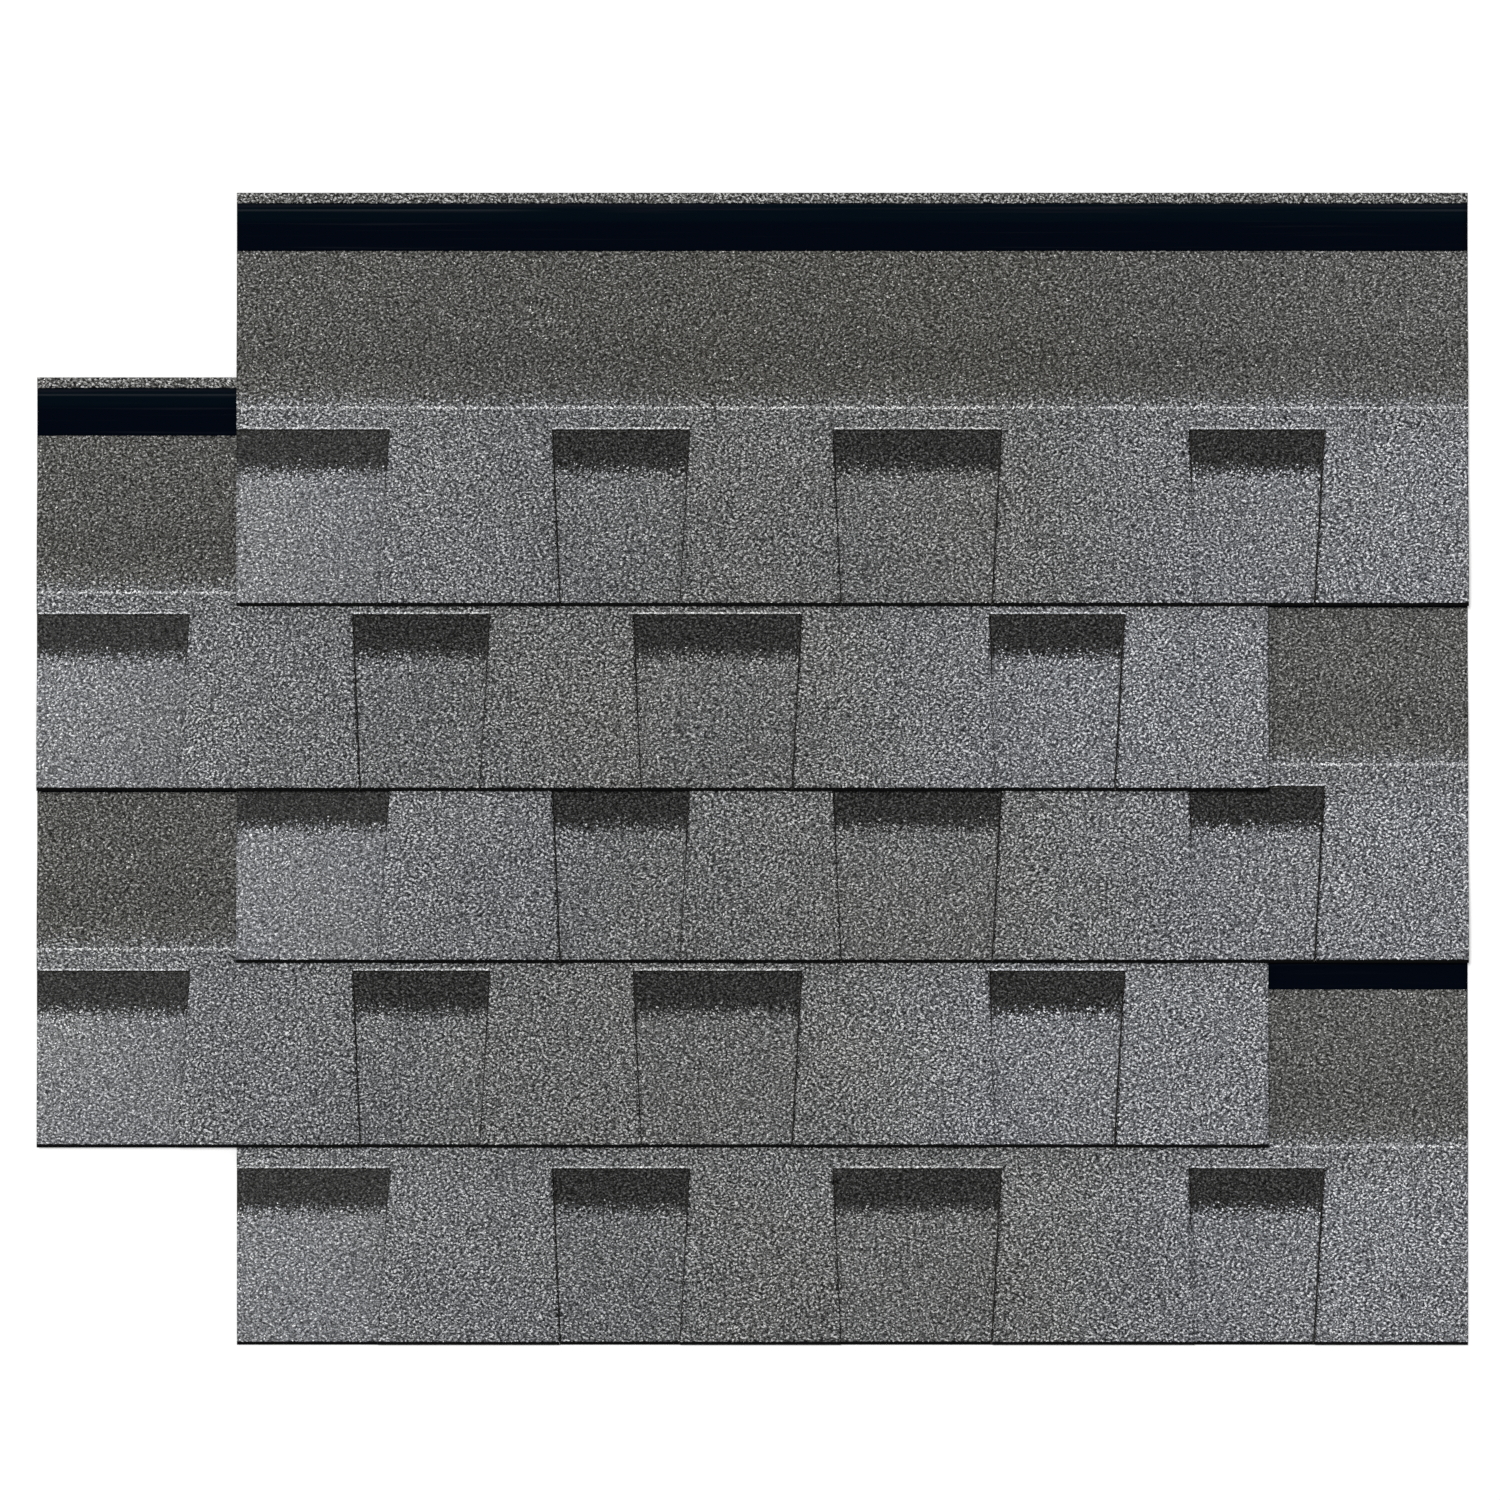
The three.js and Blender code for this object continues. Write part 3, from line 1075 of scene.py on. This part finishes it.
def alongLine(start, end):
    # Places for chips at uneven distances along a line and a little to both sides of it
    spacing, scatter = tabSheet["chipLines"]
    start, end = np.array([start, end])
    count = max(1, round(np.linalg.norm(end - start) / spacing))
    share = (np.arange(count) + chance(0.1, 0.9, count)) / count
    return start + share[:, None] * (end - start) + chance(-scatter, scatter, (count, 2))


def placeTabChips():
    # Along every edge with granules, on both sides of the band of the tape, and here and there
    form = tabSheet
    head, near, free = form["head"], form["chipInset"], form["chipFree"]
    far, high = form["length"] - near, form["height"] - near
    foot, top = form["band"]
    lines = [((near, high), (far, high)), ((near, head + near), (near, high)), ((far, free), (far, high))]
    for edge, inset in zip((foot, top), form["bandInsets"]):
        lines.append(((near, edge + inset), (far, edge + inset)))
    for (x, y), (headX, headY), towards in cutOutSides():
        inset = towards * form["sideInset"]
        lines.append(((x + inset, y + free), (headX + inset, headY)))
    edges = join([alongLine(*line) for line in lines])
    underTape = (edges[:, 1] > foot + mm / 2) & (edges[:, 1] < top - mm / 2)
    height = head + form["headInset"]
    heads = [alongLine((max(left, near), height), (right, height)) for left, right, *_ in form["cutOuts"]]
    loose = chance((near, near), (far, high), (form["looseChips"], 2))
    across, up = loose.T
    kept = ((up < foot) | (up > top)) & (up > free)
    for left, right, leftLean, rightLean in form["cutOuts"]:
        share = 1 - up / head
        inCutOut = (across > left + share * leftLean - mm) & (across < right - share * rightLean + mm)
        kept &= ~(inCutOut & (up < head + mm))
    return join([edges[~underTape], loose[kept], *heads]), sum(len(chips) for chips in heads)


def makeSheet(node, places, grids, placeChips, sunk=0, flare=0):
    # Its upper face is uneven with chips, but for the floor of a sunk band, and falls away to the
    # butt edge. The last of the chips on it may be in the light line.
    form = sheetStuff
    underside = readUnderside(node)
    up = places[:, 1]
    under = np.interp(up, *underside)
    lip = np.clip(1 - up / form["lip"], 0, 1)
    rough = chance(*form["relief"], len(up)) * (sunk == 0)
    rough *= np.where(findInner(places, grids), 1, form["rimRelief"])
    topAt = under + form["thickness"] - lip ** 2 * form["lipDrop"] - sunk - rough
    slab = closeSlab(form, places, grids, topAt, under, flare)
    # The chips placed last may be in the painted highlight along the cut-out heads
    chips, inLine = placeChips()
    addChips(slab, chips, np.interp(chips[:, 1], *underside) + form["thickness"])
    return slab, inLine


def makeTabSheet(course):
    form = tabSheet
    node = course + "_tab_sheet"
    places, grids = joinPatches(tabSheetPatches())
    inner = findInner(places, grids)
    across, up = places.T
    inHead = abs(up - form["head"]) < touch
    # A painted highlight along the heads of the cut-outs, on the rim there and on the chips placed last
    headLine = np.zeros(len(places))
    for left, right, *_ in form["cutOuts"]:
        headLine[inHead & (across > left + touch) & (across < right - touch)] = 1
    # Dark flares and bare rims along the cut edges: partly real asphalt, partly painted shade
    flare = flareAt(places, ~inner)
    allBare, barest = form["flareBareAndShade"]
    bareEdge = np.maximum(np.where(inner, 0, form["edgeBareAndShade"]), np.clip(flare / allBare, 0, barest))
    bareEdge = bareEdge * ~inHead + headLine * form["headBareAndShade"]
    foot, top = form["band"]
    atBand = (up > foot - touch) & (up < top + touch)
    inBand = (up > foot + touch) & (up < top - touch)
    bandEdge = atBand & ((abs(up - foot) < mm) | (abs(up - top) < mm))
    free = inner & ~atBand & (up > form["lip"]) & ~inHead
    shake = chance(-form["shake"], form["shake"], places.shape) * form["step"]
    places = places + shake * free[:, None]
    # A whole column of the band's edge moves together, so that its step stays upright
    columnOf = np.unique(np.round(places[:, 0] / form["frayColumn"]), return_inverse=True)[1]
    standIn = chance(0, 1, columnOf.max() + 1)[columnOf]
    fray = np.where(up < (foot + top) / 2, *form["bandFray"]) * standIn
    places[:, 1] += np.where(bandEdge & inner, fray, 0)
    slab, headChips = makeSheet(node, places, grids, placeTabChips, inBand * form["bandDepth"], flare)
    headLine = np.pad(headLine, (0, len(slab["points"]) - len(headLine)))
    headLine[-5 * headChips:] = 1
    name = course + "_granuled_tab_sheet"
    return makePiece(
        node, name, slab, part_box(node)[0], "tab_granules", "tabGranules", "cutEdge", "sandedBack",
        bareEdge=bareEdge, headLine=headLine, tapeBand=inBand,
    )


backingStrip = sheetStuff | {
    "height": 172 * mm,
    "hiddenStep": 12 * mm,
    "chipsPerMetre": 1850,  # along the cut-outs
}


def placeBackingChips():
    # Only where the cut-outs leave the strip in view
    placed = []
    for left, right, _, rightLean in tabSheet["cutOuts"]:
        low = (max(left, mm), backingStrip["chipFree"])
        high = (right - rightLean, tabSheet["head"])
        placed.append(chance(low, high, (round(backingStrip["chipsPerMetre"] * (right - left)), 2)))
    return join(placed), 0


def makeBackingStrip(course):
    form = backingStrip
    node = course + "_backing_strip"
    # Fine where the cut-outs leave it in view, and coarse under the tabs
    sides = [side for cutOut in tabSheet["cutOuts"] for side in cutOut[:2]]
    columns = [np.zeros(1)]
    for place, (left, right) in enumerate(zip(sides, sides[1:] + [form["length"]])):
        columns.append(evenSteps(left, right, form["hiddenStep"] if place % 2 else form["step"])[1:])
    rows = join([lowRows(), evenSteps(tabSheet["head"], form["height"], form["hiddenStep"])[1:]])
    places, grids = joinPatches([makeGrid(join(columns), rows)])
    slab, _ = makeSheet(node, places, grids, placeBackingChips)
    name = course + "_granuled_backing_strip"
    return makePiece(
        node, name, slab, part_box(node)[0], "backing_granules", "backingGranules", "cutEdge", "sandedBack",
    )


def boxGrid(node, steps):
    # A plain grid over a node, from its lower left corner
    low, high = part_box(node)
    columns, rows = [evenSteps(0, high[axis] - low[axis], steps[axis]) for axis in (0, 1)]
    return low, high, *joinPatches([makeGrid(columns, rows)])


releaseTape = {
    "thickness": 0.4 * mm,
    "steps": (5 * mm, 2.5 * mm),  # along the shingle and up the slope
    "wallWaver": 0.1 * mm,
    "wrinkle": 0.12 * mm,
    "waves": 6,
    "waveLength": (25, 120),  # in millimetres
    "waveTurn": 0.5,
}


def makeReleaseTape(course):
    form = releaseTape
    node = course + "_release_tape"
    low, _, places, grids = boxGrid(node, form["steps"])
    under = np.interp(places[:, 1], *readUnderside(node))
    waves = np.zeros(len(places))
    for _ in range(form["waves"]):
        length = chance(*form["waveLength"]) * mm
        turn = chance(-form["waveTurn"], form["waveTurn"])
        phase = (places @ (math.cos(turn), math.sin(turn))) / length + chance(0, 1)
        waves += np.sin(phase * math.tau) / form["waves"]
    topAt = under + form["thickness"] - form["wrinkle"] * (0.5 + 0.5 * waves)
    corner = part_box(course + "_tab_sheet")[0]
    slab = closeSlab(form, places + np.array([0, low.y - corner.y]), grids, topAt, under)
    name = course + "_release_film"
    return makePiece(node, name, slab, corner, "release_film", *["releaseFilm"] * 3)


sealantBead = {
    "steps": (4 * mm, 1.5 * mm),
    "thickness": 0.6 * mm,
    "thinnest": 0.35,  # share of it at both edges
    "uneven": (0.75, 1),
}


def makeSealantBead(course):
    # It hangs from the strip, with its flat side above and its uneven, rounded side below
    form = sealantBead
    node = course + "_sealant_bead"
    low, high, places, grids = boxGrid(node, form["steps"])
    count = len(places)
    middle = (high.y - low.y) / 2
    rounded = 1 - np.clip(abs(places[:, 1] - middle) / middle, 0, 1) ** 4
    thinnest = form["thinnest"]
    thick = form["thickness"] * (thinnest + (1 - thinnest) * rounded * chance(*form["uneven"], count))
    faces = gridFaces(grids)
    heights = join([np.full(count, high.z), high.z - thick])
    points = np.column_stack([np.tile(places, (2, 1)), heights])
    rim = findRim(faces)
    walls = np.column_stack([rim[:, ::-1], rim + count])
    data = bpy.data.meshes.new(node)
    data.from_pydata(points.tolist(), [], join([faces, walls, faces[:, ::-1] + count]).tolist())
    data.materials.append(finishes["sealant"])
    data.update()
    return placePiece(node, course + "_sealant_line", data, low)


for place in range(1, 6):
    course = f"course_{place}"
    made = [make(course) for make in (makeBackingStrip, makeTabSheet, makeReleaseTape, makeSealantBead)]
    triangles = sum(len(face.vertices) - 2 for piece in made for face in piece.data.polygons)
    print(course, "made with", triangles, "triangles")
